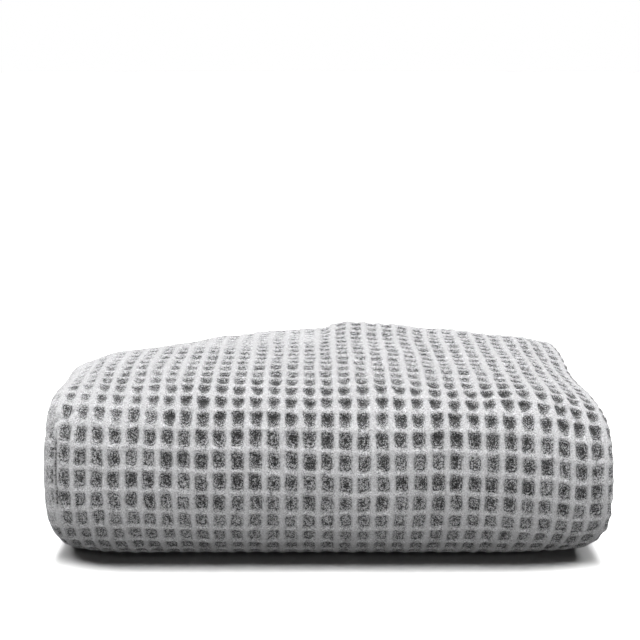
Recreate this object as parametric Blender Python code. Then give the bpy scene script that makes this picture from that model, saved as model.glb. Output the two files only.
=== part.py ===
"""Waffle weave cotton blanket, folded as for a shelf.

The blanket is one sheet of thick cotton cloth. It is folded in two directions:

1. across its width, both sides to the middle and then in half, which gives four plies with
   the two hems hidden inside;
2. along its length, in half three times, which gives eight panels. The outermost ply wraps
   the underside, the front and the top in one piece.

The solid starts as a flat slab of cloth on a grid. Each point then moves to its folded place:
ply_line carries the fold across the width, and panel_line carries the fold along the length.
Last, settle gives the stack its crown, its drawn-in ends and its tucked lower edges.

X runs across the width, -Y is the rounded front, +Z is up, and the stack lies on z = 0 with
the origin under its middle. Units are metres.
"""
import math

import bmesh
import bpy
from mathutils import Vector

# the cloth, laid flat
CLOTH_WIDTH = 1.50
CLOTH_LENGTH = 2.00
CLOTH_THICKNESS = 0.0031
LAYER_GAP = 0.00085

# the fold across the width
PLIES = 4
PLY_PITCH = CLOTH_THICKNESS + LAYER_GAP
INNER_TURN = 0.5 * PLY_PITCH
OUTER_TURN = 1.5 * PLY_PITCH
HEM_SETBACK = 0.004

# the fold along the length: the level of each panel in the stack, counted up from the
# underside, in the order in which the panels follow one another along the cloth
PANEL_LEVELS = (1, 6, 5, 2, 3, 4, 7, 0)
PANEL_PITCH = PLIES * PLY_PITCH
# how far each turn at the back stands out behind their common line, by its lower level
BACK_TURN_REACH = {2: 0.016, 4: 0.0, 5: 0.0}
# how far the cloth's first and last end stand out behind the same line
FREE_END_REACH = (0.022, 0.028)

# the stack before it settles
STACK_WIDTH = (
    (CLOTH_WIDTH + 2 * HEM_SETBACK - math.pi * (OUTER_TURN + 2 * INNER_TURN)) / PLIES
    + OUTER_TURN + INNER_TURN + CLOTH_THICKNESS
)
STACK_HEIGHT = PANEL_PITCH * len(PANEL_LEVELS) - LAYER_GAP
NOSE_RADIUS = 0.5 * STACK_HEIGHT

# how the stack has settled. Its top sinks in two steps, the first behind the rounded front and
# the second towards the back. Each row holds a place across the stack, from -1 at its left end
# to 1 at its right end, and how far the top lies there below its full height after each step
CROWN = (
    (-1.00, 0.0100, 0.0300),
    (-0.80, 0.0030, 0.0270),
    (-0.60, 0.0010, 0.0190),
    (-0.40, 0.0010, 0.0130),
    (-0.25, 0.0015, 0.0090),
    (-0.05, 0.0015, 0.0065),
    (0.08, 0.0010, 0.0010),
    (0.25, 0.0025, 0.0025),
    (0.45, 0.0060, 0.0065),
    (0.75, 0.0075, 0.0120),
    (1.00, 0.0105, 0.0150),
)
# where the steps end and the second one starts, measured from the front
MIDDLE_WHOLE = 0.110
BACK_START = 0.125
BACK_WHOLE = 0.255
# the top sinks a little just behind the rounded front
SHOULDER_SINK = 0.0035
SHOULDER_PLACE = 0.048
SHOULDER_REACH = 0.046
# the soft ends: how long each is, and how far in it the top comes down, the front and the back
# draw in, the upper layers narrow towards the back, and the lower edge tucks under. "corner"
# is how much of the top's fall is left at the back corner
LEFT_END = {
    "length": 0.050,
    "top": 0.006,
    "front": 0.018,
    "back": 0.008,
    "narrow": 0.002,
    "tuck": 0.009,
    "corner": 1.0,
}
RIGHT_END = {
    "length": 0.075,
    "top": 0.014,
    "front": 0.012,
    "back": 0.003,
    "narrow": 0.009,
    "tuck": 0.018,
    "corner": 0.2,
}
CORNER_START = 0.150
CORNER_REACH = 0.070
TUCK_HEIGHT = 0.040
TUCK_POWER = 4
# slow waves in the layers
WAVE_HEIGHT = 0.0009
WAVE_ACROSS = 0.115
WAVE_ALONG = 0.090

# how finely the folds are drawn: the places of the points along a straight ply from left to
# right, the steps of a straight panel, and the steps of each turn; a turn along the length
# goes by its radius in panel pitches
PLY_PLACES = (0.0, 0.07, 0.24, 0.44, 0.54, 0.63, 0.80, 0.93)
PANEL_STEPS = 2
INNER_TURN_STEPS = 3
OUTER_TURN_STEPS = 5
PANEL_TURN_STEPS = {0.5: 5, 1.5: 7, 2.5: 9, 3.5: 12}

CLOTH_COLOUR = (0.62, 0.62, 0.63, 1.0)
CLOTH_ROUGHNESS = 0.95


def straight(start, end, places):
    """(point, normal) pairs at these places, 0 to 1, on the way from start to end."""
    start, end = Vector(start), Vector(end)
    along = (end - start).normalized()
    normal = Vector((along.y, -along.x))
    return [(start.lerp(end, place), normal) for place in places]


def even_places(steps):
    return [step / steps for step in range(steps)]


def turn(centre, radius, first_angle, sweep, steps):
    """(point, normal) pairs round an arc, without its last point."""
    side = 1 if sweep > 0 else -1
    points = []
    for step in range(steps):
        angle = first_angle + sweep * step / steps
        out = Vector((math.cos(angle), math.sin(angle)))
        points.append((Vector(centre) + radius * out, side * out))
    return points


def ply_line():
    """The middle line of the four plies, in the plane of X and the height in a panel.

    It runs from one hem to the other. Both sides of the cloth turn back at the right end, and
    its middle goes round them in one wide turn at the left end.
    """
    left = -0.5 * STACK_WIDTH + 0.5 * CLOTH_THICKNESS + OUTER_TURN
    right = 0.5 * STACK_WIDTH - 0.5 * CLOTH_THICKNESS - INNER_TURN
    hem = left + HEM_SETBACK
    up, down = 0.5 * math.pi, -0.5 * math.pi
    rightward = PLY_PLACES
    leftward = [0.0] + [1.0 - place for place in reversed(PLY_PLACES[1:])]
    line = straight((hem, -INNER_TURN), (right, -INNER_TURN), rightward)
    line += turn((right, -PLY_PITCH), INNER_TURN, up, -math.pi, INNER_TURN_STEPS)
    line += straight((right, -OUTER_TURN), (left, -OUTER_TURN), leftward)
    line += turn((left, 0), OUTER_TURN, down, -math.pi, OUTER_TURN_STEPS)
    line += straight((left, OUTER_TURN), (right, OUTER_TURN), rightward)
    line += turn((right, PLY_PITCH), INNER_TURN, up, -math.pi, INNER_TURN_STEPS)
    line += straight((right, INNER_TURN), (hem, INNER_TURN), leftward + [1.0])
    return line


def level_height(level):
    """The height of the middle of a panel at this level."""
    return (level + 0.5) * PANEL_PITCH - 0.5 * LAYER_GAP


def turn_radius(lower, upper):
    return 0.5 * abs(upper - lower) * PANEL_PITCH


def panel_run():
    """The straight length of a panel that uses up the whole length of the cloth."""
    used = sum(FREE_END_REACH) + 2 * sum(BACK_TURN_REACH.values())
    for first, second in zip(PANEL_LEVELS, PANEL_LEVELS[1:]):
        used += math.pi * turn_radius(first, second)
    return (CLOTH_LENGTH - used) / len(PANEL_LEVELS)


def panel_line():
    """The middle line of the eight panels, in the plane of Y and Z, from end to end."""
    front = NOSE_RADIUS
    back = front + panel_run()
    start = back + FREE_END_REACH[0]
    line = []
    to_front = True
    for level, following in zip(PANEL_LEVELS, PANEL_LEVELS[1:]):
        height = level_height(level)
        end = front if to_front else back + BACK_TURN_REACH[min(level, following)]
        line += straight((start, height), (end, height), even_places(PANEL_STEPS))
        rising = following > level
        first_angle = -0.5 * math.pi if rising else 0.5 * math.pi
        sweep = math.pi if rising != to_front else -math.pi
        middle = 0.5 * (height + level_height(following))
        steps = PANEL_TURN_STEPS[0.5 * abs(following - level)]
        line += turn((end, middle), turn_radius(level, following), first_angle, sweep, steps)
        start = end
        to_front = not to_front
    height = level_height(PANEL_LEVELS[-1])
    end = back + FREE_END_REACH[1]
    line += straight((start, height), (end, height), even_places(PANEL_STEPS) + [1.0])
    return line


def smooth(value):
    """Smooth step of a value that is first held between 0 and 1."""
    value = min(max(value, 0.0), 1.0)
    return value * value * (3.0 - 2.0 * value)


def crown_drops(across):
    """How far the top lies below its full height in its middle and at the back, from CROWN."""
    for (place, *drops), (next_place, *next_drops) in zip(CROWN, CROWN[1:]):
        if across <= next_place:
            break
    share = smooth((across - place) / (next_place - place))
    return Vector(drops).lerp(Vector(next_drops), share)


def settle(point, depth):
    """Move a point of the square stack, whose front is at y = 0, to where the cloth settles."""
    x, y, z = point
    across = x / (0.5 * STACK_WIDTH)
    height = z / STACK_HEIGHT
    behind = y / depth

    middle, back = crown_drops(across)
    sink = middle * smooth(y / MIDDLE_WHOLE)
    sink += (back - middle) * smooth((y - BACK_START) / (BACK_WHOLE - BACK_START))
    sink += SHOULDER_SINK * smooth(1.0 - abs(y - SHOULDER_PLACE) / SHOULDER_REACH)
    sink += WAVE_HEIGHT * math.sin(x * math.tau / WAVE_ACROSS) * math.cos(y * math.tau / WAVE_ALONG)

    end = LEFT_END if x < 0 else RIGHT_END
    drawn = max(0.0, 1.0 - (0.5 * STACK_WIDTH - abs(x)) / end["length"]) ** 2
    corner = 1.0 + (end["corner"] - 1.0) * smooth((y - CORNER_START) / CORNER_REACH)
    sink += drawn * end["top"] * corner
    tuck = end["tuck"] * max(0.0, 1.0 - z / TUCK_HEIGHT) ** 2 * across ** TUCK_POWER
    narrow = end["narrow"] * drawn * height * behind

    x -= math.copysign(tuck + narrow, x)
    y += drawn * (end["front"] * (1.0 - behind) - end["back"] * behind)
    z -= sink * height
    return Vector((x, y, z))


def fold(mesh, plies, panels):
    """Move the points of the flat slab, a grid of plies by panels, to their folded places."""
    depth = NOSE_RADIUS + panel_run() + max(FREE_END_REACH)
    for vertex in mesh.verts:
        column = round((vertex.co.x + 0.5) * (len(plies) - 1))
        row = round((vertex.co.y + 0.5) * (len(panels) - 1))
        side = math.copysign(0.5 * CLOTH_THICKNESS, vertex.co.z)
        ply, ply_normal = plies[column]
        panel, panel_normal = panels[row]
        across, height = ply + side * ply_normal
        along, up = panel + height * panel_normal
        vertex.co = settle((across, along, up), depth)


def centre_on_floor(mesh):
    """Put the origin under the middle of the stack."""
    lowest = Vector([min(vertex.co[axis] for vertex in mesh.verts) for axis in range(3)])
    highest = Vector([max(vertex.co[axis] for vertex in mesh.verts) for axis in range(3)])
    middle = 0.5 * (lowest + highest)
    bmesh.ops.translate(mesh, verts=mesh.verts, vec=(-middle.x, -middle.y, -lowest.z))


def cloth_material():
    material = bpy.data.materials.new("waffle_cotton")
    material.use_nodes = True
    shader = material.node_tree.nodes["Principled BSDF"]
    shader.inputs["Base Color"].default_value = CLOTH_COLOUR
    shader.inputs["Roughness"].default_value = CLOTH_ROUGHNESS
    shader.inputs["Metallic"].default_value = 0.0
    return material


def make_blanket():
    plies = ply_line()
    panels = panel_line()
    slab = bmesh.new()
    bmesh.ops.create_grid(slab, x_segments=len(plies) - 1, y_segments=len(panels) - 1, size=0.5)
    bmesh.ops.solidify(slab, geom=slab.faces[:], thickness=CLOTH_THICKNESS)
    bmesh.ops.translate(slab, verts=slab.verts, vec=(0, 0, 0.5 * CLOTH_THICKNESS))
    fold(slab, plies, panels)
    centre_on_floor(slab)
    bmesh.ops.recalc_face_normals(slab, faces=slab.faces)
    mesh = bpy.data.meshes.new("blanket")
    slab.to_mesh(mesh)
    slab.free()
    mesh.shade_smooth()
    mesh.materials.append(cloth_material())
    return bpy.data.objects.new("blanket", mesh)


def main():
    for old in list(bpy.data.objects):
        bpy.data.objects.remove(old)
    collection = bpy.data.collections.new("waffle_blanket")
    bpy.context.scene.collection.children.link(collection)
    collection.objects.link(make_blanket())


main()
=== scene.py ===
"""Looks of the folded waffle weave cotton blanket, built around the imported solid.

The cloth is drawn again in the solid's own folds, finely enough to carry the waffle relief: a
grid of raised ridges round sunken square cells. It comes in two pieces. outer_ply wraps the
back, the top, the front and the underside. inner_layers is the rest of the cloth, which shows
at the ends and at the back. Cells that no view reaches are left plain.

A place on the flat cloth is given as (across, along) in metres, or as (column, row) counted in
cells. X runs across the width, -Y is the rounded front and +Z is up. Units are metres.
"""
import math

import bmesh
import bpy
import numpy as np
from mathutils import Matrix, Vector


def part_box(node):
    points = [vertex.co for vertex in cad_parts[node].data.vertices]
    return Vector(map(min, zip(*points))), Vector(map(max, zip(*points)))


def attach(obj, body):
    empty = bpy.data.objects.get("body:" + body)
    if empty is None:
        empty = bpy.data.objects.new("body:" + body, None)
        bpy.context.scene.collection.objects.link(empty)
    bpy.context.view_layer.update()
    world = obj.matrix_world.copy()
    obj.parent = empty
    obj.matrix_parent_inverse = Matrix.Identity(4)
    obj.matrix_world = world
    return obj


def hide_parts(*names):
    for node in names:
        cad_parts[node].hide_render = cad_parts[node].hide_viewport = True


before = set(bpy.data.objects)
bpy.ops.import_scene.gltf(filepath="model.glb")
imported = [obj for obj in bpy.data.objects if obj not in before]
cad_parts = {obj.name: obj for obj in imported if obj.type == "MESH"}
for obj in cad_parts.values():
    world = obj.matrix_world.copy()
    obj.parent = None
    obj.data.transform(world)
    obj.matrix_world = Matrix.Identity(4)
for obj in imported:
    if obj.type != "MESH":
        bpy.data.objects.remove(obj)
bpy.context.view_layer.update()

CAD_LOW, CAD_HIGH = (np.array(corner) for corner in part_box("blanket"))

# ---------------------------------------------------------------- the cloth and its folds,
# with the same sizes as the solid's
CLOTH_WIDTH = 1.50
CLOTH_LENGTH = 2.00
CLOTH_THICKNESS = 0.0031
LAYER_GAP = 0.00085
PLIES = 4
PLY_PITCH = CLOTH_THICKNESS + LAYER_GAP
INNER_TURN = 0.5 * PLY_PITCH
OUTER_TURN = 1.5 * PLY_PITCH
HEM_SETBACK = 0.004
PANEL_LEVELS = (1, 6, 5, 2, 3, 4, 7, 0)
PANEL_PITCH = PLIES * PLY_PITCH
BACK_TURN_REACH = {2: 0.016, 4: 0.0, 5: 0.0}
FREE_END_REACH = (0.022, 0.028)
STACK_WIDTH = (
    (CLOTH_WIDTH + 2 * HEM_SETBACK - math.pi * (OUTER_TURN + 2 * INNER_TURN)) / PLIES
    + OUTER_TURN + INNER_TURN + CLOTH_THICKNESS
)
STACK_HEIGHT = PANEL_PITCH * len(PANEL_LEVELS) - LAYER_GAP
NOSE_RADIUS = 0.5 * STACK_HEIGHT
HALF_THICKNESS = 0.5 * CLOTH_THICKNESS

# ---------------------------------------------------------------- how the stack has settled,
# as in the solid. Each row of CROWN holds a place across the stack, from -1 to 1, and how far
# the top lies there below its full height, first behind the rounded front and then at the back
CROWN = (
    (-1.00, 0.0100, 0.0300),
    (-0.80, 0.0030, 0.0270),
    (-0.60, 0.0010, 0.0190),
    (-0.40, 0.0010, 0.0130),
    (-0.25, 0.0015, 0.0090),
    (-0.05, 0.0015, 0.0065),
    (0.08, 0.0010, 0.0010),
    (0.25, 0.0025, 0.0025),
    (0.45, 0.0060, 0.0065),
    (0.75, 0.0075, 0.0120),
    (1.00, 0.0105, 0.0150),
)
MIDDLE_WHOLE = 0.110
BACK_START = 0.125
BACK_WHOLE = 0.255
SHOULDER_SINK = 0.0035
SHOULDER_PLACE = 0.048
SHOULDER_REACH = 0.046
LEFT_END = {
    "length": 0.050,
    "top": 0.006,
    "front": 0.018,
    "back": 0.008,
    "narrow": 0.002,
    "tuck": 0.009,
    "corner": 1.0,
}
RIGHT_END = {
    "length": 0.075,
    "top": 0.014,
    "front": 0.012,
    "back": 0.003,
    "narrow": 0.009,
    "tuck": 0.018,
    "corner": 0.2,
}
CORNER_START = 0.150
CORNER_REACH = 0.070
TUCK_HEIGHT = 0.040
TUCK_POWER = 4
WAVE_HEIGHT = 0.0009
WAVE_ACROSS = 0.115
WAVE_ALONG = 0.090

# ---------------------------------------------------------------- the waffle weave
CELL_WIDTH = 0.01195
CELL_LENGTH = 0.0145
# how far the ridges stand out from the solid, how deep a cell is below them, and the shares of
# that depth between which cells differ at random
RIDGE_RISE = 0.0008
CELL_DEPTH = 0.0039
CELL_DEPTH_RANGE = (0.82, 1.06)
# the share of rise and depth that is left where the cloth has no room, in a tight turn or under
# other layers, how far the reverse face makes way where it has room, and how soon it has
TIGHT_SHARE = 0.62
REVERSE_SINK = 0.0005
TIGHT_REACH = 0.010
# where one ridge lies: across, from the middle of the stack's top, and along, from the place
# where the front faces straight forward
RIDGE_ACROSS = 0.0041
RIDGE_ALONG = 0.0045
# the side of a ridge, in shares of the way from its middle to the bottom of a cell, and how
# much of the depth is reached at its foot
RIDGE_TOP = 0.10
RIDGE_FOOT = 0.50
FOOT_DEPTH = 0.50
# ridges across the cloth are this high, and sag by up to this much between those along it
CROSS_RIDGE = 0.86
CROSS_SAG = 0.16
# how far the bottom of a cell lies off its middle at random, in cells, how much smaller a cell
# is than the room between its ridges at random, and how square its corners are at random
BOTTOM_SHIFT = 0.13
CELL_SMALLER = (0.0, 0.09)
CORNER_RANGE = (1.8, 5.0)
# on top, behind the first of these rows, the ridges along the cloth are wider and those across
# it don't sag. From the second row on, they are no wider and do sag
TOP_ROWS = (-4.5, -0.5)
TOP_WIDER = 0.20
# round the shoulder, between the second and third of these rows and less as far as the others,
# the cells are pulled up: the bottom lies off the middle, the nearer side is a long slope, which
# the other sides share in part, its corners are filled, and the cells get more painted shade
PULLED_ROWS = (-7.5, -5.7, -4.0, -1.4)
PULLED_SHIFT = 0.12
PULLED_SLOPE = 0.5
SIDE_SLOPE_SHARE = 0.5
PULLED_CORNER = 1.5
PULLED_PAINTED_SHADE = 0.78
# over how much of a cell its bottom goes over into the nearer side, and the share of the way to
# the bottom at which the corners are wholly filled
NEARER_STEP = 1.0 / 6.0
FILLED_CORNER_SHARE = 0.25
# how far, in cells, the bottom of a cell lies off towards the middle of the stack, for each
# column away from it
SIDE_SHIFT = 0.006
# how ridges wander from their places, across the cloth and along it: how far, in cells, how many
# steps of noise come to a column and to a row, where the noise starts, and its seed
COLUMN_WANDERS = (
    (0.100, 0.20, 0.25, 40, 90, 11),
    (0.025, 0.70, 2.20, 20, 130, 13),
)
ROW_WANDERS = (
    (0.100, 0.25, 0.20, 60, 120, 12),
    (0.060, 2.20, 0.80, 10, 150, 14),
)
FUZZ_HEIGHT = 0.00016
FUZZ_SIZE = 0.0019
FUZZ_SEED = 31
# how many random numbers there are each way before they repeat, and the seeds of those for what
# differs from cell to cell
LATTICE = 256
DEPTH_SEED = 21
BOTTOM_ACROSS_SEED = 22
BOTTOM_ALONG_SEED = 23
SAG_SEED = 24
NARROWER_SEED = 25
SHORTER_SEED = 26
CORNER_SEED = 27
# a hem's width, over how much of it the cells end, how far it lies below the solid's face, and
# how dark its stitching is
HEM_WIDTH = 0.011
HEM_EDGE = 0.0022
HEM_SINK = 0.0004
STITCH_DARK = 0.28
# how far the cells of the outer ply have slid from an even grid, in cells: across the cloth by
# column, and along it by column, at the rows of DRIFT_ROWS after the first, where they don't
COLUMN_DRIFT = (
    (-19.0, 0.0),
    (-17.0, 0.52),
    (-15.5, 0.56),
    (-14.5, 0.45),
    (-11.5, 0.33),
    (-8.5, 0.17),
    (-5.5, 0.08),
    (0.5, 0.05),
    (5.5, 0.16),
    (12.0, 0.20),
    (14.0, 0.05),
    (16.0, 0.0),
)
DRIFT_ROWS = (-9.0, -5.5, -1.5, 2.5)
ROW_DRIFT = (
    (-19.0, 0.0, 0.0, 0.0),
    (-16.5, -0.90, -0.35, 0.10),
    (-14.5, -0.60, -0.15, -0.15),
    (-11.5, -0.20, -0.07, -0.15),
    (-7.5, 0.0, -0.03, -0.10),
    (-4.0, 0.0, 0.0, 0.0),
    (8.5, 0.05, 0.10, -0.05),
    (11.5, 0.20, 0.18, 0.10),
    (13.5, 0.20, 0.38, 0.47),
    (17.0, 0.0, 0.0, 0.0),
)
# cells keep to the even grid this near the cloth's edges
EVEN_EDGE = 0.030
# places where the cells are pressed flat: the middle's column and row, how many columns and rows
# they reach from there, and how flat they are
PRESSED = (
    (-17.2, -11.5, 2.6, 6.0, 0.92),
    (-17.0, -6.0, 1.25, 6.5, 0.92),
    (-16.9, 1.0, 0.85, 8.5, 0.7),
    (-13.5, -15.8, 6.0, 2.8, 0.62),
    (-7.0, -16.5, 9.0, 4.2, 0.42),
    (-13.0, -7.5, 5.5, 6.5, 0.30),
    (-15.4, -6.3, 2.8, 4.0, 0.52),
    (-1.6, -16.0, 0.8, 2.2, 0.8),
    (16.3, -5.0, 1.3, 14.0, 0.65),
    (0.0, 7.0, 60.0, 8.0, 0.20),
)
# how steeply they begin, and how much of a cell's darkness, partly painted shade, goes with its
# depth
PRESSED_EDGE = 2.5
PRESSED_PALER = 0.85
# soft creases: the column and row of both ends, the depth and the half width in metres, and how
# dark their painted shade is, as in a cell. They fade over this share of their length at both ends
CREASES = (
    (-16.05, -3.0, -15.95, 1.6, 0.0034, 0.0022, 0.65),
    (-14.6, -3.9, -17.4, -2.3, 0.0024, 0.0036, 0.35),
)
CREASE_FADE = 0.25

# ---------------------------------------------------------------- how finely it is drawn
# the lines in a cell as shares of it, those where the cloth turns tightly, where a cell is looked
# at to tell, and the least step between a line and the cloth's edge, in cells
CELL_LINES = (0.0, 0.10, 0.22, 0.36, 0.50, 0.64, 0.78, 0.90)
TURN_LINES = tuple(step / 12 for step in range(12))
TURN_PROBES = (0.0, 0.25, 0.50, 0.75, 1.0)
LEAST_STEP = 0.04
# how many places across and along the cloth are looked at to find its size when it is folded
SIZE_PROBES = (400, 600)
# the widest hidden face, and the widest in a turn as a share of its radius
HIDDEN_FACE = 0.026
HIDDEN_TURN = 0.55
# how far the cloth is drawn finely past the left turn and past the right ones, at its free ends,
# at the end of its outer ply, on the underside behind the front, and past the low turn at the back
SHOWN_PAST_LEFT = 0.012
SHOWN_PAST_RIGHT = 0.005
SHOWN_FREE_END = 0.015
SHOWN_LAST_END = 0.030
SHOWN_UNDER = 0.040
SHOWN_PAST_BACK = 0.020


class FoldLine:
    """The middle line of a fold: straight runs and turns, read at any distance along it."""

    def __init__(self):
        self.starts = []
        self.radii = []
        self.sides = []
        self.places = []
        self.length = 0.0

    def add(self, length, radius, side, place):
        """The next part; side is 1 where normals point out of a turn, -1 where into it, else 0."""
        self.starts.append(self.length)
        self.radii.append(radius)
        self.sides.append(side)
        self.places.append(place)
        self.length += length

    def straight(self, start, end):
        """A straight run, whose normals point to its right."""
        start, end = np.array(start), np.array(end)
        length = float(np.linalg.norm(end - start))
        forward = (end - start) / length
        normal = np.array((forward[1], -forward[0]))

        def place(distance):
            points = start + distance[:, None] * forward
            return points, np.broadcast_to(normal, points.shape)

        self.add(length, math.inf, 0, place)

    def turn(self, centre, radius, first_angle, sweep):
        """A turn round a centre, by a sweep that is positive anticlockwise."""
        side = 1 if sweep > 0 else -1

        def place(distance):
            angle = first_angle + side * distance / radius
            out = np.stack((np.cos(angle), np.sin(angle)), axis=1)
            return np.array(centre) + radius * out, side * out

        self.add(radius * abs(sweep), radius, side, place)

    def part_of(self, distance):
        """The number of the part at this distance."""
        return int(np.clip(np.searchsorted(self.starts, distance, side="right") - 1, 0, None))

    def at(self, distances):
        """The points and normals at these distances."""
        points = np.zeros((len(distances), 2))
        normals = np.zeros((len(distances), 2))
        parts = np.clip(np.searchsorted(self.starts, distances, side="right") - 1, 0, None)
        for number, place in enumerate(self.places):
            here = parts == number
            if here.any():
                points[here], normals[here] = place(distances[here] - self.starts[number])
        return points, normals


def fold_across():
    """The four plies from hem to hem, in the plane of X and the height in a panel."""
    left = -0.5 * STACK_WIDTH + HALF_THICKNESS + OUTER_TURN
    right = 0.5 * STACK_WIDTH - HALF_THICKNESS - INNER_TURN
    hem = left + HEM_SETBACK
    up, down = 0.5 * math.pi, -0.5 * math.pi
    line = FoldLine()
    line.straight((hem, -INNER_TURN), (right, -INNER_TURN))
    line.turn((right, -PLY_PITCH), INNER_TURN, up, -math.pi)
    line.straight((right, -OUTER_TURN), (left, -OUTER_TURN))
    line.turn((left, 0.0), OUTER_TURN, down, -math.pi)
    line.straight((left, OUTER_TURN), (right, OUTER_TURN))
    line.turn((right, PLY_PITCH), INNER_TURN, up, -math.pi)
    line.straight((right, INNER_TURN), (hem, INNER_TURN))
    return line


# the parts of the line across
LOWER_RIGHT_TURN, LEFT_TURN, TOP_PLY, UPPER_RIGHT_TURN = 1, 3, 4, 5


def level_height(level):
    """The height of the middle of a panel at this level."""
    return (level + 0.5) * PANEL_PITCH - 0.5 * LAYER_GAP


def turn_radius(lower, upper):
    """The radius of the turn between panels at these two levels."""
    return 0.5 * abs(upper - lower) * PANEL_PITCH


def panel_run():
    """The straight length of a panel that uses up the whole length of the cloth."""
    used = sum(FREE_END_REACH) + 2 * sum(BACK_TURN_REACH.values())
    for first, second in zip(PANEL_LEVELS, PANEL_LEVELS[1:]):
        used += math.pi * turn_radius(first, second)
    return (CLOTH_LENGTH - used) / len(PANEL_LEVELS)


def fold_along():
    """The eight panels from end to end, in the plane of Y and Z."""
    front = NOSE_RADIUS
    back = front + panel_run()
    start = back + FREE_END_REACH[0]
    line = FoldLine()
    to_front = True
    for level, following in zip(PANEL_LEVELS, PANEL_LEVELS[1:]):
        height = level_height(level)
        end = front if to_front else back + BACK_TURN_REACH[min(level, following)]
        line.straight((start, height), (end, height))
        rising = following > level
        first_angle = -0.5 * math.pi if rising else 0.5 * math.pi
        sweep = math.pi if rising != to_front else -math.pi
        middle = 0.5 * (height + level_height(following))
        line.turn((end, middle), turn_radius(level, following), first_angle, sweep)
        start = end
        to_front = not to_front
    height = level_height(PANEL_LEVELS[-1])
    line.straight((start, height), (back + FREE_END_REACH[1], height))
    return line


# the parts of the line along
LOW_BACK_TURN, HIGH_BACK_TURN, FRONT_TURN, UNDER_PANEL = 7, 11, 13, 14

ACROSS = fold_across()
ALONG = fold_along()
STACK_DEPTH = NOSE_RADIUS + panel_run() + max(FREE_END_REACH)


def smooth(value):
    """Smooth step of values that are first held between 0 and 1."""
    value = np.clip(value, 0.0, 1.0)
    return value * value * (3.0 - 2.0 * value)


def step_at(value, middle, width):
    """Smooth step from 0 to 1, over this width round the middle."""
    return smooth((value - middle) / width + 0.5)


def crown_drops(across):
    """How far the top lies below its full height in its middle and at the back, from CROWN."""
    places, *drops = np.array(CROWN).T
    number = np.clip(np.searchsorted(places, across) - 1, 0, len(places) - 2)
    share = smooth((across - places[number]) / (places[number + 1] - places[number]))
    return [drop[number] + (drop[number + 1] - drop[number]) * share for drop in drops]


def settle(x, y, z):
    """Move points of the square stack, whose front is at y = 0, to where the cloth settles."""
    across = x / (0.5 * STACK_WIDTH)
    height = z / STACK_HEIGHT
    behind = y / STACK_DEPTH

    middle, back = crown_drops(across)
    sink = middle * smooth(y / MIDDLE_WHOLE)
    sink += (back - middle) * smooth((y - BACK_START) / (BACK_WHOLE - BACK_START))
    sink += SHOULDER_SINK * smooth(1.0 - np.abs(y - SHOULDER_PLACE) / SHOULDER_REACH)
    sink += WAVE_HEIGHT * np.sin(x * math.tau / WAVE_ACROSS) * np.cos(y * math.tau / WAVE_ALONG)

    end = {key: np.where(x < 0, LEFT_END[key], RIGHT_END[key]) for key in LEFT_END}
    drawn = np.maximum(0.0, 1.0 - (0.5 * STACK_WIDTH - np.abs(x)) / end["length"]) ** 2
    corner = 1.0 + (end["corner"] - 1.0) * smooth((y - CORNER_START) / CORNER_REACH)
    sink += drawn * end["top"] * corner
    tuck = end["tuck"] * np.maximum(0.0, 1.0 - z / TUCK_HEIGHT) ** 2 * across ** TUCK_POWER
    narrow = end["narrow"] * drawn * height * behind

    x = x - np.sign(x) * (tuck + narrow)
    y = y + drawn * (end["front"] * (1.0 - behind) - end["back"] * behind)
    z = z - sink * height
    return np.stack((x, y, z), axis=-1)


def fold(across, along, height):
    """Where points of the flat cloth lie in the stack; height is above its middle, outwards."""
    ply, ply_normal = ACROSS.at(across)
    panel, panel_normal = ALONG.at(along)
    x = ply[:, 0] - height * ply_normal[:, 0]
    level = ply[:, 1] - height * ply_normal[:, 1]
    y = panel[:, 0] + level * panel_normal[:, 0]
    z = panel[:, 1] + level * panel_normal[:, 1]
    return settle(x, y, z)


def to_solid():
    """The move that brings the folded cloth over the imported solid."""
    lengths = (ACROSS.length, ALONG.length)
    probes = [np.linspace(0.0, length, count) for length, count in zip(lengths, SIZE_PROBES)]
    across, along = np.meshgrid(*probes)
    points = fold(across.ravel(), along.ravel(), HALF_THICKNESS)
    low, high = points.min(axis=0), points.max(axis=0)
    return np.array((0.5 * (CAD_LOW + CAD_HIGH - low - high)[0], CAD_LOW[1] - low[1], -low[2]))


TO_SOLID = to_solid()


# ---------------------------------------------------------------- cells on the flat cloth
def row_lengths():
    """The outer face's length at the start of each part of the line along, and at its end.

    On a turn that has the top ply outside, the outer face is longer than the middle line.
    """
    outer = OUTER_TURN + HALF_THICKNESS
    ends = ALONG.starts[1:] + [ALONG.length]
    lengths = [0.0]
    for start, end, radius, side in zip(ALONG.starts, ends, ALONG.radii, ALONG.sides):
        stretch = 1.0 + max(side, 0) * outer / radius
        lengths.append(lengths[-1] + (end - start) * stretch)
    return lengths


ROW_PLACES = ALONG.starts + [ALONG.length]
ROW_LENGTHS = row_lengths()
FIRST_COLUMN_PLACE = (
    ACROSS.starts[TOP_PLY] + 0.5 * STACK_WIDTH - HALF_THICKNESS - OUTER_TURN + RIDGE_ACROSS
)
FIRST_ROW_LENGTH = 0.5 * (ROW_LENGTHS[FRONT_TURN] + ROW_LENGTHS[UNDER_PANEL]) + RIDGE_ALONG


def column_of(across):
    """The column, with its fraction, at this place across the cloth."""
    return (across - FIRST_COLUMN_PLACE) / CELL_WIDTH


def row_of(along):
    """The row, with its fraction, at this place along the cloth."""
    return (np.interp(along, ROW_PLACES, ROW_LENGTHS) - FIRST_ROW_LENGTH) / CELL_LENGTH


def across_of(column):
    """The place across the cloth where this column is."""
    return FIRST_COLUMN_PLACE + column * CELL_WIDTH


def along_of(row):
    """The place along the cloth where this row is."""
    return np.interp(FIRST_ROW_LENGTH + row * CELL_LENGTH, ROW_LENGTHS, ROW_PLACES)


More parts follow.
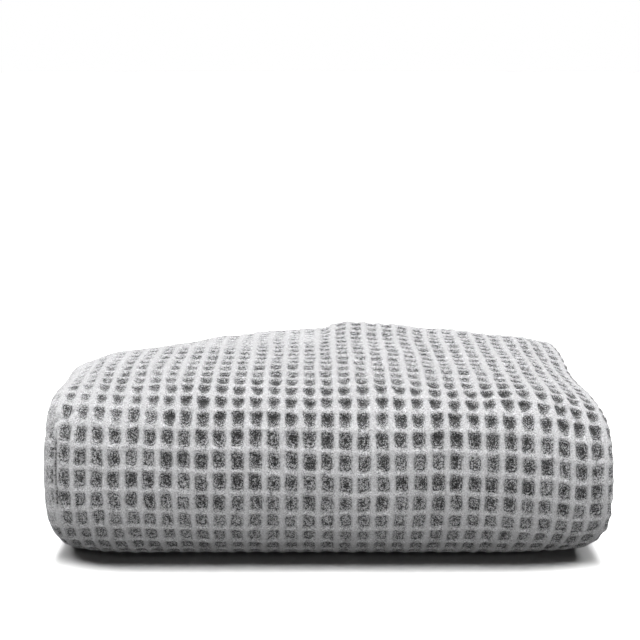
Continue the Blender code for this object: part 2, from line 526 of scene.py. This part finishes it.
def noise(x, y, seed):
    """Smooth noise from -1 to 1, with one random point for each unit of x and y."""
    lattice = np.random.default_rng(seed).uniform(-1.0, 1.0, (LATTICE, LATTICE))
    column, row = np.floor(x).astype(int), np.floor(y).astype(int)
    u, v = smooth(x - column), smooth(y - row)
    left, right = column % LATTICE, (column + 1) % LATTICE
    low, high = row % LATTICE, (row + 1) % LATTICE
    lower = lattice[low, left] * (1 - u) + lattice[low, right] * u
    upper = lattice[high, left] * (1 - u) + lattice[high, right] * u
    return lower * (1 - v) + upper * v


def ridge(share, sloped):
    """The height of a ridge, 1 to 0, at this share of the way from its middle to the bottom.

    A side that is sloped stays high for longer, with no foot.
    """
    side = smooth((share - RIDGE_TOP) / (RIDGE_FOOT - RIDGE_TOP))
    steep = 1.0 - FOOT_DEPTH * side - (1.0 - FOOT_DEPTH) * share
    return steep + sloped * (1.0 - share ** 2 - steep)


def column_drift(column):
    """How far cells have slid across the cloth, in cells, from COLUMN_DRIFT."""
    places, drifts = np.array(COLUMN_DRIFT).T
    return np.interp(column, places, drifts)


def row_drift(column, row):
    """How far cells have slid along the cloth, in cells, from ROW_DRIFT and DRIFT_ROWS."""
    places, *drifts = np.array(ROW_DRIFT).T
    drift = 0.0
    last = 0.0
    for start, end, drifts_there in zip(DRIFT_ROWS, DRIFT_ROWS[1:], drifts):
        there = np.interp(column, places, drifts_there)
        drift = drift + (there - last) * smooth((row - start) / (end - start))
        last = there
    return drift


def pick(seed, column, row, low=-1.0, high=1.0):
    """One random number for each whole column and row."""
    numbers = np.random.default_rng(seed).uniform(low, high, (LATTICE, LATTICE))
    return numbers[row.astype(int) % LATTICE, column.astype(int) % LATTICE]


def share_to_bottom(place, bottom):
    """How far a place in a cell is on the way from its ridge, 0, to its bottom, 1."""
    return np.where(place < bottom, place / bottom, (1.0 - place) / (1.0 - bottom))


def pulled_share(row):
    """1 where the cells are pulled up, round the shoulder, and 0 where they are not."""
    back, back_whole, front_whole, front = PULLED_ROWS
    rising = smooth((row - back) / (back_whole - back))
    return rising * smooth((front - row) / (front - front_whole))


def cell_depth(column, row):
    """How far the outer face lies below its ridges, as a share of the depth of a cell."""
    cell = np.floor(column), np.floor(row)
    in_column, in_row = column - cell[0], row - cell[1]
    pulled = pulled_share(row)
    top = smooth((TOP_ROWS[1] - row) / (TOP_ROWS[1] - TOP_ROWS[0]))
    bottom = 0.5 + BOTTOM_SHIFT * pick(BOTTOM_ACROSS_SEED, *cell) - SIDE_SHIFT * cell[0]
    across = share_to_bottom(in_column, bottom)
    bottom = 0.5 + BOTTOM_SHIFT * pick(BOTTOM_ALONG_SEED, *cell) - PULLED_SHIFT * pulled
    along = share_to_bottom(in_row, bottom)
    nearer = step_at(in_row, bottom, NEARER_STEP)
    sloped = PULLED_SLOPE * pulled * nearer

    narrower = TOP_WIDER * top + pick(NARROWER_SEED, *cell, *CELL_SMALLER)
    along_ridge = ridge(across * (1.0 - narrower), SIDE_SLOPE_SHARE * sloped)
    sag = CROSS_SAG * pick(SAG_SEED, cell[0], np.round(row), 0.0) * smooth(across) * (1.0 - top)
    shorter = pick(SHORTER_SEED, *cell, *CELL_SMALLER)
    cross_ridge = (CROSS_RIDGE - sag) * ridge(along * (1.0 - shorter), sloped)

    corner = pick(CORNER_SEED, *cell, *CORNER_RANGE)
    filled = pulled * nearer * smooth(along / FILLED_CORNER_SHARE)
    corner += filled * (PULLED_CORNER - corner)
    height = (along_ridge ** corner + cross_ridge ** corner) ** (1.0 / corner)
    return pick(DEPTH_SEED, *cell, *CELL_DEPTH_RANGE) * np.maximum(0.0, 1.0 - height)


def pressed_share(column, row):
    """1 where a cell is pressed flat and 0 where it is whole, from PRESSED."""
    pressed = 0.0
    for middle_column, middle_row, columns, rows, share in PRESSED:
        out = np.hypot((column - middle_column) / columns, (row - middle_row) / rows)
        pressed = np.maximum(pressed, share * smooth((1.0 - out) * PRESSED_EDGE))
    return pressed


def creases(column, row):
    """How deep the creases of CREASES are here, in metres, and how dark their painted shade is,
    from 0 to 1.
    """
    deepest, darkest = 0.0, 0.0
    for first_column, first_row, last_column, last_row, depth, width, dark in CREASES:
        run_across = (last_column - first_column) * CELL_WIDTH
        run_along = (last_row - first_row) * CELL_LENGTH
        across = (column - first_column) * CELL_WIDTH
        along = (row - first_row) * CELL_LENGTH
        run_share = across * run_across + along * run_along
        run_share = np.clip(run_share / (run_across ** 2 + run_along ** 2), 0.0, 1.0)
        off = np.hypot(across - run_share * run_across, along - run_share * run_along)
        share = smooth(run_share / CREASE_FADE) * smooth((1.0 - run_share) / CREASE_FADE)
        share = share * smooth(1.0 - off / width)
        deepest = np.maximum(deepest, depth * share)
        darkest = np.maximum(darkest, dark * share)
    return deepest, darkest


def edge_distance(across, along):
    """How far a place on the flat cloth is from its nearest edge."""
    return np.minimum.reduce((across, CLOTH_WIDTH - across, along, CLOTH_LENGTH - along))


def field_share(across, along):
    """1 inside the field of cells and 0 within a hem."""
    return step_at(edge_distance(across, along), HEM_WIDTH, HEM_EDGE)


def open_share(across, along):
    """1 on the outer ply, where the relief has room, and 0 on the others and in tight turns."""
    left, right = ACROSS.starts[LEFT_TURN], ACROSS.starts[UPPER_RIGHT_TURN]
    past_side = 0.5 * (right - left) - np.abs(across - 0.5 * (left + right))
    past_start = along - ALONG.starts[HIGH_BACK_TURN]
    return smooth(past_side / TIGHT_REACH) * smooth(past_start / TIGHT_REACH)


def wander(column, row, wanders):
    """How far the ridges here lie off their places, in cells."""
    slide = 0.0
    for amount, by_column, by_row, first_column, first_row, seed in wanders:
        here = noise(column * by_column + first_column, row * by_row + first_row, seed)
        slide = slide + amount * here
    return slide


def slid_place(column, row):
    """Where on the flat cloth a place counted in cells lies, now that the cells have slid."""
    slide_column = column_drift(column) + wander(column, row, COLUMN_WANDERS)
    slide_row = row_drift(column, row) + wander(column, row, ROW_WANDERS)
    free = smooth(edge_distance(across_of(column), along_of(row)) / EVEN_EDGE)
    return across_of(column + free * slide_column), along_of(row + free * slide_row)


def outer_face(column, row):
    """Points of the outer face at these places counted in cells, and how dark each is.

    It is dark in the cells, partly as the yarn's own colour and partly as painted shade, with more
    painted shade round the shoulder; dark in the creases as painted shade; and dark along the
    stitching at a hem's inner edge.
    """
    across, along = slid_place(column, row)
    field = field_share(across, along)
    depth = field * cell_depth(column, row)
    pressed = pressed_share(column, row)
    # the creases' depth, and their painted shade, as in a cell
    crease, crease_painted_shade = creases(column, row)

    room = TIGHT_SHARE + (1.0 - TIGHT_SHARE) * open_share(across, along)
    fuzz = FUZZ_HEIGHT * noise(across / FUZZ_SIZE, along / FUZZ_SIZE, FUZZ_SEED)
    rise = field * (room * (RIDGE_RISE - CELL_DEPTH * depth * (1.0 - pressed)) - fuzz)
    level = HALF_THICKNESS + rise - (1.0 - field) * HEM_SINK - crease

    # painted shade in part: the cells get darker with depth, partly the yarn's own colour and
    # partly painted shade, more round the shoulder and less where pressed
    dark = depth * (1.0 + PULLED_PAINTED_SHADE * pulled_share(row)) * (1.0 - PRESSED_PALER * pressed)
    stitch_dark = STITCH_DARK * 4.0 * field * (1.0 - field)
    dark = np.maximum.reduce((dark, crease_painted_shade, stitch_dark))
    return fold(across, along, level), dark


def inner_face(column, row):
    """Points of the reverse face, which stays plain, at these places counted in cells."""
    across, along = across_of(column), along_of(row)
    return fold(across, along, -HALF_THICKNESS - REVERSE_SINK * open_share(across, along))


# ---------------------------------------------------------------- the lines that faces follow
def cell_lines(first, last, lines_in):
    """Line places from first to last, at the shares lines_in(cell) of each cell."""
    lines = [first]
    for cell in range(math.floor(first), math.ceil(last)):
        for share in lines_in(cell):
            place = cell + share
            if first + LEAST_STEP < place < last - LEAST_STEP:
                lines.append(place)
    return np.array(lines + [last])


def lines_across(cell):
    """The shares of this column at which lines run along the cloth."""
    parts = [ACROSS.part_of(across_of(cell + share)) for share in TURN_PROBES]
    tight = LOWER_RIGHT_TURN in parts or UPPER_RIGHT_TURN in parts
    return TURN_LINES if tight else CELL_LINES


def lines_along(cell):
    """The shares of this row at which lines run across the cloth, the same for all."""
    return CELL_LINES


COLUMNS = cell_lines(column_of(0.0), column_of(CLOTH_WIDTH), lines_across)
ROWS = cell_lines(row_of(0.0), row_of(CLOTH_LENGTH), lines_along)


def hidden_lines(places, line, needed):
    """Which lines also border hidden faces: those needed, and others a wide step apart."""
    needed = {int(np.abs(places - place).argmin()) for place in needed}
    kept = [0]
    for number in range(1, len(places) - 1):
        radius = min(line.radii[line.part_of(places[near])] for near in (kept[-1], number))
        step = min(HIDDEN_FACE, HIDDEN_TURN * radius)
        if number in needed or places[number + 1] - places[kept[-1]] > step:
            kept.append(number)
    return np.array(kept + [len(places) - 1])


# the outer ply's piece: from inside the lower ply's left end, round the left turn, over the
# top ply and round the right turn
OUTER_START = ACROSS.starts[LEFT_TURN] - SHOWN_PAST_LEFT
OUTER_END = ACROSS.starts[UPPER_RIGHT_TURN + 1] + SHOWN_PAST_RIGHT
OUTER_FIRST_ROW = ALONG.starts[HIGH_BACK_TURN]

HIDDEN_COLUMNS = hidden_lines(across_of(COLUMNS), ACROSS, (OUTER_START, OUTER_END))
HIDDEN_ROWS = hidden_lines(along_of(ROWS), ALONG, (OUTER_FIRST_ROW,))


def middles(places):
    """The places halfway between these."""
    return 0.5 * (places[1:] + places[:-1])


def near_part(places, line, part, reach):
    """Which places lie in a part of a fold line, or within reach of it."""
    return (places > line.starts[part] - reach) & (places < line.starts[part + 1] + reach)


def patches():
    """For each patch between hidden lines: is it in the outer ply's piece, and does it show."""
    across, along = np.meshgrid(
        middles(across_of(COLUMNS[HIDDEN_COLUMNS])), middles(along_of(ROWS[HIDDEN_ROWS]))
    )
    outer = (along > OUTER_FIRST_ROW) & (across > OUTER_START) & (across < OUTER_END)
    ends = near_part(across, ACROSS, LEFT_TURN, SHOWN_PAST_LEFT)
    ends |= near_part(across, ACROSS, LOWER_RIGHT_TURN, SHOWN_PAST_RIGHT)
    ends |= near_part(across, ACROSS, UPPER_RIGHT_TURN, SHOWN_PAST_RIGHT)
    wrapped = along < ALONG.starts[UNDER_PANEL] + SHOWN_UNDER
    wrapped |= along > CLOTH_LENGTH - SHOWN_LAST_END
    low_turn = near_part(across, ACROSS, TOP_PLY, 0.0)
    low_turn &= near_part(along, ALONG, LOW_BACK_TURN, SHOWN_PAST_BACK)
    free_ends = (along < SHOWN_FREE_END) | (along > CLOTH_LENGTH - SHOWN_FREE_END)
    shows = (outer & wrapped) | ends | low_turn | free_ends
    return outer, shows


def patch_lines(row, column):
    """The lines round a patch: its first and last row of ROWS, and the same of COLUMNS."""
    return (*HIDDEN_ROWS[row:row + 2], *HIDDEN_COLUMNS[column:column + 2])


def used_crossings(inside, shows):
    """Where lines cross at a point of the outer face, and where at one of the inner face.

    Also returned is where the outer face has a fine face between lines.
    """
    outer = np.zeros((len(ROWS), len(COLUMNS)), bool)
    inner = np.zeros((len(ROWS), len(COLUMNS)), bool)
    fine = np.zeros((len(ROWS) - 1, len(COLUMNS) - 1), bool)
    for row, column in zip(*np.nonzero(inside)):
        low, high, left, right = patch_lines(row, column)
        corners = np.ix_((low, high), (left, right))
        outer[corners] = True
        inner[corners] = True
        if shows[row, column]:
            outer[low:high + 1, left:right + 1] = True
            fine[low:high, left:right] = True
    return outer, inner, fine


def point_numbers(crossings, first):
    """The number of the point at each of these crossings, counted from first, else -1."""
    numbers = np.full(crossings.shape, -1)
    numbers[crossings] = first + np.arange(crossings.sum())
    return numbers


def fine_faces(fine, outer):
    """The fine faces, from the numbers of the outer face's points."""
    row, column = np.nonzero(fine)
    corners = ((row, column), (row + 1, column), (row + 1, column + 1), (row, column + 1))
    return np.stack([outer[corner] for corner in corners], axis=1).tolist()


def patch_faces(row, column, shown, present, outer, inner):
    """A patch's wide faces: the inner one, those on open sides and, if hidden, the outer one.

    present has a border of one round the patches. outer and inner hold the points' numbers. The
    outer face takes in the points that a fine neighbour has on their common side.
    """
    low, high, left, right = patch_lines(row, column)
    sides = (
        (outer[low:high + 1, left], (low, left), (high, left), (row + 1, column)),
        (outer[high, left:right + 1], (high, left), (high, right), (row + 2, column + 1)),
        (outer[low:high + 1, right][::-1], (high, right), (low, right), (row + 1, column + 2)),
        (outer[low, left:right + 1][::-1], (low, right), (low, left), (row, column + 1)),
    )
    faces = []
    loop = []
    for points, start, end, neighbour in sides:
        points = points[points >= 0].tolist()
        loop += points[:-1]
        if not present[neighbour]:
            faces.append([int(inner[start]), int(inner[end])] + points[::-1])
    if not shown:
        faces.append(loop)
    corners = ((low, left), (low, right), (high, right), (high, left))
    faces.append([int(inner[corner]) for corner in corners])
    return faces


def cloth_mesh(name, points, faces, cells, darks):
    """A smooth mesh with the places in cells as its map, "weave", and the darkness, partly painted
    shade, as "pit".
    """
    mesh = bpy.data.meshes.new(name)
    mesh.from_pydata(points.tolist(), [], faces)
    corner_points = np.zeros(len(mesh.loops), np.int32)
    mesh.loops.foreach_get("vertex_index", corner_points)
    layer = mesh.uv_layers.new(name="weave")
    layer.data.foreach_set("uv", cells[corner_points].astype(np.float32).ravel())
    # how dark each point is: partly the yarn's own colour, partly painted shade, and the stitching
    pits = mesh.attributes.new("pit", "FLOAT", "POINT")
    pits.data.foreach_set("value", darks.astype(np.float32))
    mesh.shade_smooth()
    mesh.update()
    return mesh


def cloth_piece(name, inside, shows):
    """A closed sheet of the patches inside, with fine faces where it shows."""
    outer, inner, fine = used_crossings(inside, shows)
    outer_numbers = point_numbers(outer, 0)
    inner_numbers = point_numbers(inner, outer.sum())
    faces = fine_faces(fine, outer_numbers)
    present = np.pad(inside, 1)
    for row, column in zip(*np.nonzero(inside)):
        shown = shows[row, column]
        faces += patch_faces(row, column, shown, present, outer_numbers, inner_numbers)

    row, column = np.nonzero(outer)
    outer_cells = np.stack((COLUMNS[column], ROWS[row]), axis=1)
    row, column = np.nonzero(inner)
    inner_cells = np.stack((COLUMNS[column], ROWS[row]), axis=1)
    outer_points, darks = outer_face(*outer_cells.T)
    points = np.concatenate((outer_points, inner_face(*inner_cells.T))) + TO_SOLID
    points[:, 2] = np.maximum(points[:, 2], 0.0)
    cells = np.concatenate((outer_cells, inner_cells))
    darks = np.pad(darks, (0, len(inner_cells)))

    piece = bpy.data.objects.new(name, cloth_mesh(name, points, faces, cells, darks))
    bpy.context.scene.collection.objects.link(piece)
    return piece


# ---------------------------------------------------------------- material
RIDGE_COLOUR = (0.48, 0.48, 0.488, 1.0)
# the cells' colours, palest and darkest: the darkest is partly the yarn's own colour and partly
# painted shade
PIT_LIGHT = (0.32, 0.32, 0.325, 1.0)
PIT_DARK = (0.018, 0.018, 0.019, 1.0)
COTTON = {
    "Roughness": 0.95,
    "Specular IOR Level": 0.2,
    "Sheen Weight": 0.12,
    "Sheen Roughness": 0.6,
}
# each noise by its size in metres, its detail and its roughness
GRAIN = (0.0009, 3.0, 0.75)
LUMPS = (0.0026, 2.0, 0.5)
SLOW_TONES = (0.045, 2.0, 0.5)
RING_BREAKS = (0.0032, 1.0, 0.5)
# where the grain goes from its darkest to its palest, and the rings from broken to whole
GRAIN_STEP = (0.32, 0.68)
BREAK_STEP = (0.30, 0.55)
# how many rings of yarn lie down the sides of a cell, and how far lumps bend them
YARNS_IN_CELL = 3.4
RING_BEND = 0.25
# how far fuzz and lumps make the edge of a cell ragged, and the depths at which it starts and ends
RAGGED_FUZZ = 0.32
RAGGED_LUMPS = 0.9
EDGE_STEP = (0.10, 0.46)
# how pale the yarns in a cell are at its edge, what fuzz, rings and the cell's own tone add to it,
# what depth takes from it, partly the yarn's own darkness and partly painted shade, and where it
# goes from PIT_DARK to PIT_LIGHT
PALE = 0.96
PALE_FUZZ = 1.35
PALE_RINGS = 0.30
PALE_CELLS = 0.16
PALE_LOSS = 0.80
PALE_STEP = (0.05, 1.05)
# how strong the specks are, how much weaker on the ridges along the cloth, which are its smoothest
# part, and where these start and end between the middle of a cell, 0, and that of a ridge, 1
FLECK = 1.45
FLECK_LOSS = 0.75
FLECK_STEP = (0.55, 0.85)
SLOW_TONE_SHARE = 0.20
BUMP_STRENGTH = 0.9
BUMP_DISTANCE = 0.0006
BUMP_YARNS = 0.45


class Nodes:
    """Makes the nodes of a material and links them."""

    def __init__(self, material):
        self.tree = material.node_tree

    def add(self, kind, **settings):
        """A node of this kind, with these settings."""
        node = self.tree.nodes.new(kind)
        for name, value in settings.items():
            setattr(node, name, value)
        return node

    def join(self, socket, value):
        """Link a socket to another, or set it to a plain value."""
        if isinstance(value, bpy.types.NodeSocket):
            self.tree.links.new(value, socket)
        else:
            socket.default_value = value

    def math(self, operation, first, second=0.0, third=0.0):
        """What this operation makes of up to three values."""
        node = self.add("ShaderNodeMath", operation=operation)
        for socket, value in zip(node.inputs, (first, second, third)):
            self.join(socket, value)
        return node.outputs[0]

    def total(self, first, *others):
        """The first value, and each of the others times its weight."""
        for value, weight in others:
            first = self.math("MULTIPLY_ADD", value, weight, first)
        return first

    def centred(self, value):
        """A value from 0 to 1, moved to between -0.5 and 0.5."""
        return self.math("SUBTRACT", value, 0.5)

    def step(self, value, low, high):
        """A smooth step of value, from 0 at low to 1 at high."""
        node = self.add("ShaderNodeMapRange", interpolation_type="SMOOTHSTEP")
        for name, number in (("Value", value), ("From Min", low), ("From Max", high)):
            self.join(node.inputs[name], number)
        return node.outputs["Result"]

    def noise(self, place, size, detail, roughness):
        """Noise from 0 to 1, by its size in metres, its detail and its roughness."""
        node = self.add("ShaderNodeTexNoise")
        self.join(node.inputs["Vector"], place)
        self.join(node.inputs["Scale"], 1.0 / size)
        self.join(node.inputs["Detail"], detail)
        self.join(node.inputs["Roughness"], roughness)
        return node.outputs["Fac"]

    def mix(self, share, first, second):
        """A colour between the first, at 0, and the second, at 1."""
        node = self.add("ShaderNodeMix", data_type="RGBA")
        # its sockets for colours come after those for numbers and vectors
        self.join(node.inputs[0], share)
        self.join(node.inputs[6], first)
        self.join(node.inputs[7], second)
        return node.outputs[2]


def cell_tones(nodes, weave):
    """A random tone for each cell, from -0.5 to 0.5."""
    cell = nodes.add("ShaderNodeVectorMath", operation="FLOOR")
    nodes.join(cell.inputs[0], weave)
    tone = nodes.add("ShaderNodeTexWhiteNoise", noise_dimensions="2D")
    nodes.join(tone.inputs["Vector"], cell.outputs[0])
    return nodes.centred(tone.outputs["Value"])


def side_share(nodes, weave):
    """How far a place is from the middle of its column, 0, to a ridge along the cloth, 1."""
    parts = nodes.add("ShaderNodeSeparateXYZ")
    nodes.join(parts.inputs[0], weave)
    off = nodes.centred(nodes.math("FRACT", parts.outputs[0]))
    return nodes.math("MULTIPLY", nodes.math("ABSOLUTE", off), 2.0)


def yarn_rings(nodes, place, depth, lumps):
    """Broken rings of yarn down the sides of the cells, from -1 to 1."""
    down = nodes.total(depth, (lumps, RING_BEND))
    rings = nodes.math("SINE", nodes.math("MULTIPLY", down, math.tau * YARNS_IN_CELL))
    return nodes.math("MULTIPLY", rings, nodes.step(nodes.noise(place, *RING_BREAKS), *BREAK_STEP))


def waffle_cotton():
    """Matt grey cotton: pale ridges, darker cells with rings of yarn, and fuzz over both. The
    cells' darkness is partly the yarn's own and partly painted shade.
    """
    material = bpy.data.materials.new("waffle_cotton")
    material.use_nodes = True
    nodes = Nodes(material)
    shader = material.node_tree.nodes["Principled BSDF"]
    for name, value in COTTON.items():
        shader.inputs[name].default_value = value

    weave = nodes.add("ShaderNodeUVMap", uv_map="weave").outputs[0]
    # the pit attribute: how dark a place is, partly the yarn's own colour and partly painted
    # shade, with painted shade in the creases and the stitching's own dark
    depth = nodes.add("ShaderNodeAttribute", attribute_name="pit").outputs["Fac"]
    place = nodes.add("ShaderNodeTexCoord").outputs["Object"]
    fuzz = nodes.centred(nodes.step(nodes.noise(place, *GRAIN), *GRAIN_STEP))
    lumps = nodes.centred(nodes.noise(place, *LUMPS))
    slow = nodes.centred(nodes.noise(place, *SLOW_TONES))
    rings = yarn_rings(nodes, place, depth, lumps)

    ragged = nodes.total(depth, (fuzz, RAGGED_FUZZ), (lumps, RAGGED_LUMPS))
    inside = nodes.step(ragged, *EDGE_STEP)
    tones = cell_tones(nodes, weave)
    pale = nodes.total(PALE, (fuzz, PALE_FUZZ), (rings, PALE_RINGS), (tones, PALE_CELLS))
    # painted shade in part: deeper places lose their paleness
    pale = nodes.total(pale, (ragged, -PALE_LOSS))
    pit = nodes.mix(nodes.step(pale, *PALE_STEP), PIT_DARK, PIT_LIGHT)
    colour = nodes.mix(inside, RIDGE_COLOUR, pit)

    fleck = nodes.total(FLECK, (nodes.step(side_share(nodes, weave), *FLECK_STEP), -FLECK_LOSS))
    fleck = nodes.math("MULTIPLY_ADD", fleck, fuzz, 1.0)
    tone = nodes.total(1.0, (slow, SLOW_TONE_SHARE))
    shade = nodes.add("ShaderNodeVectorMath", operation="SCALE")
    nodes.join(shade.inputs[0], colour)
    nodes.join(shade.inputs["Scale"], nodes.math("MULTIPLY", tone, fleck))
    nodes.join(shader.inputs["Base Color"], shade.outputs[0])

    bump = nodes.add("ShaderNodeBump")
    bump.inputs["Strength"].default_value = BUMP_STRENGTH
    bump.inputs["Distance"].default_value = BUMP_DISTANCE
    yarns = nodes.math("MULTIPLY", rings, inside)
    nodes.join(bump.inputs["Height"], nodes.total(fuzz, (yarns, BUMP_YARNS)))
    nodes.join(shader.inputs["Normal"], bump.outputs[0])
    return material


# ---------------------------------------------------------------- the blanket
def make_blanket():
    """Both pieces of the cloth. Returns them."""
    outer, shows = patches()
    cotton = waffle_cotton()
    outer_size = (OUTER_END - OUTER_START, CLOTH_LENGTH - OUTER_FIRST_ROW)
    inner_area = CLOTH_WIDTH * CLOTH_LENGTH - outer_size[0] * outer_size[1]
    cuts = (
        ("outer_ply", outer, outer_size, None),
        ("inner_layers", ~outer, (CLOTH_WIDTH, CLOTH_LENGTH), inner_area),
    )
    pieces = []
    for name, inside, flat, area in cuts:
        piece = cloth_piece(name, inside, shows)
        piece.data.materials.append(cotton)
        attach(piece, "root")
        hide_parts("blanket")
        pieces.append(piece)
    return pieces


# ---------------------------------------------------------------- floor, light and camera
CAMERA_PLACE = (-0.0055, -1.0712, 0.3655)
CAMERA_DOWN = 11.5
CAMERA_LENS = 84.1
SENSOR_WIDTH = 36.0
STUDIO_REACH = 9.0
STUDIO_SIDES = 64
STUDIO_ROUGHNESS = 0.9
FLOOR_COLOUR = (0.62, 0.62, 0.62, 1.0)
CARD_COLOUR = (0.66, 0.66, 0.66, 1.0)
CARD_HEIGHT = 0.0002
CARD_MARGIN = 0.040
BACKDROP_BRIGHTNESS = 1.0
WHITE = (1.0, 1.0, 1.0, 1.0)
BLACK = (0.0, 0.0, 0.0, 1.0)
# each light by what it makes of a white surface that faces it, with the width of its disc, how
# far it stands in front of straight above, and to the right of it, in degrees, and what it lights
LIGHTS = {
    "back": (1.14, 20.0, -20.0, 0.0, "all"),
    "top": (0.54, 20.0, 4.0, 0.0, "all"),
    "left": (0.48, 20.0, 4.0, -35.0, "all"),
    "right": (0.48, 20.0, 4.0, 35.0, "all"),
    "front": (0.435, 20.0, 76.0, 0.0, "cloth"),
    "floor": (2.06, 34.0, 16.0, 0.0, "stage"),
}
ROOM_LIGHT = 0.02


def plain_material(name, colour, roughness):
    """A material of one even colour."""
    material = bpy.data.materials.new(name)
    material.use_nodes = True
    shader = material.node_tree.nodes["Principled BSDF"]
    shader.inputs["Base Color"].default_value = colour
    shader.inputs["Roughness"].default_value = roughness
    return material


def make_floor():
    """A wide pale floor, which takes light but sends none to the cloth. Returns it."""
    mesh = bpy.data.meshes.new("floor")
    shape = bmesh.new()
    bmesh.ops.create_circle(shape, cap_ends=True, segments=STUDIO_SIDES, radius=STUDIO_REACH)
    shape.to_mesh(mesh)
    shape.free()
    mesh.materials.append(plain_material("pale_floor", FLOOR_COLOUR, STUDIO_ROUGHNESS))
    floor = bpy.data.objects.new("floor", mesh)
    floor.visible_diffuse = False
    bpy.context.scene.collection.objects.link(floor)
    return floor


def make_card():
    """A grey card on the floor, for the light that the floor sends back up.

    It isn't seen, and it is left open under the blanket and close round it.
    """
    left, front = CAD_LOW[:2] - CARD_MARGIN
    right, back = CAD_HIGH[:2] + CARD_MARGIN
    reach = STUDIO_REACH
    outer = [(-reach, -reach), (reach, -reach), (reach, reach), (-reach, reach)]
    opening = [(left, front), (right, front), (right, back), (left, back)]
    points = [(x, y, CARD_HEIGHT) for x, y in outer + opening]
    corners = len(outer)
    faces = []
    for corner in range(corners):
        following = (corner + 1) % corners
        faces.append((corner, following, following + corners, corner + corners))
    mesh = bpy.data.meshes.new("card")
    mesh.from_pydata(points, [], faces)
    mesh.materials.append(plain_material("card", CARD_COLOUR, STUDIO_ROUGHNESS))
    card = bpy.data.objects.new("card", mesh)
    card.visible_camera = False
    card.visible_glossy = False
    card.visible_shadow = False
    bpy.context.scene.collection.objects.link(card)


def make_backdrop():
    """A plain white wall all round, which is only seen and neither lights nor shades."""
    mesh = bpy.data.meshes.new("backdrop")
    shape = bmesh.new()
    bmesh.ops.create_cone(
        shape, cap_ends=False, segments=STUDIO_SIDES, radius1=STUDIO_REACH,
        radius2=STUDIO_REACH, depth=2 * STUDIO_REACH,
    )
    shape.to_mesh(mesh)
    shape.free()
    material = plain_material("backdrop_white", BLACK, 1.0)
    shader = material.node_tree.nodes["Principled BSDF"]
    shader.inputs["Specular IOR Level"].default_value = 0.0
    shader.inputs["Emission Color"].default_value = WHITE
    shader.inputs["Emission Strength"].default_value = BACKDROP_BRIGHTNESS
    mesh.materials.append(material)
    backdrop = bpy.data.objects.new("backdrop", mesh)
    backdrop.visible_diffuse = False
    backdrop.visible_glossy = False
    backdrop.visible_shadow = False
    bpy.context.scene.collection.objects.link(backdrop)


def make_group(name, members):
    """A collection that lights can be kept to."""
    group = bpy.data.collections.new(name)
    for member in members:
        group.objects.link(member)


def make_light():
    """Soft lights from above, one on the cloth's front, one on the floor, and a faint glow."""
    for name, (strength, width, forward, sideways, lit) in LIGHTS.items():
        data = bpy.data.lights.new(name, "SUN")
        data.energy = math.pi * strength
        data.angle = math.radians(width)
        light = bpy.data.objects.new(name, data)
        light.rotation_euler = (math.radians(forward), math.radians(sideways), 0.0)
        if lit != "all":
            light.light_linking.receiver_collection = bpy.data.collections[lit]
        bpy.context.scene.collection.objects.link(light)
    world = bpy.data.worlds.new("studio")
    world.use_nodes = True
    background = world.node_tree.nodes["Background"]
    background.inputs["Color"].default_value = WHITE
    background.inputs["Strength"].default_value = ROOM_LIGHT
    bpy.context.scene.world = world
    bpy.context.scene.view_settings.view_transform = "Standard"


def make_camera():
    """The camera, at the photograph's angle."""
    data = bpy.data.cameras.new("camera")
    data.lens = CAMERA_LENS
    data.sensor_width = SENSOR_WIDTH
    camera = bpy.data.objects.new("camera", data)
    camera.location = CAMERA_PLACE
    camera.rotation_euler = (math.radians(90.0 - CAMERA_DOWN), 0.0, 0.0)
    bpy.context.scene.collection.objects.link(camera)
    bpy.context.scene.camera = camera


make_camera()
make_group("cloth", make_blanket())
make_group("stage", [make_floor()])
make_card()
make_backdrop()
make_light()
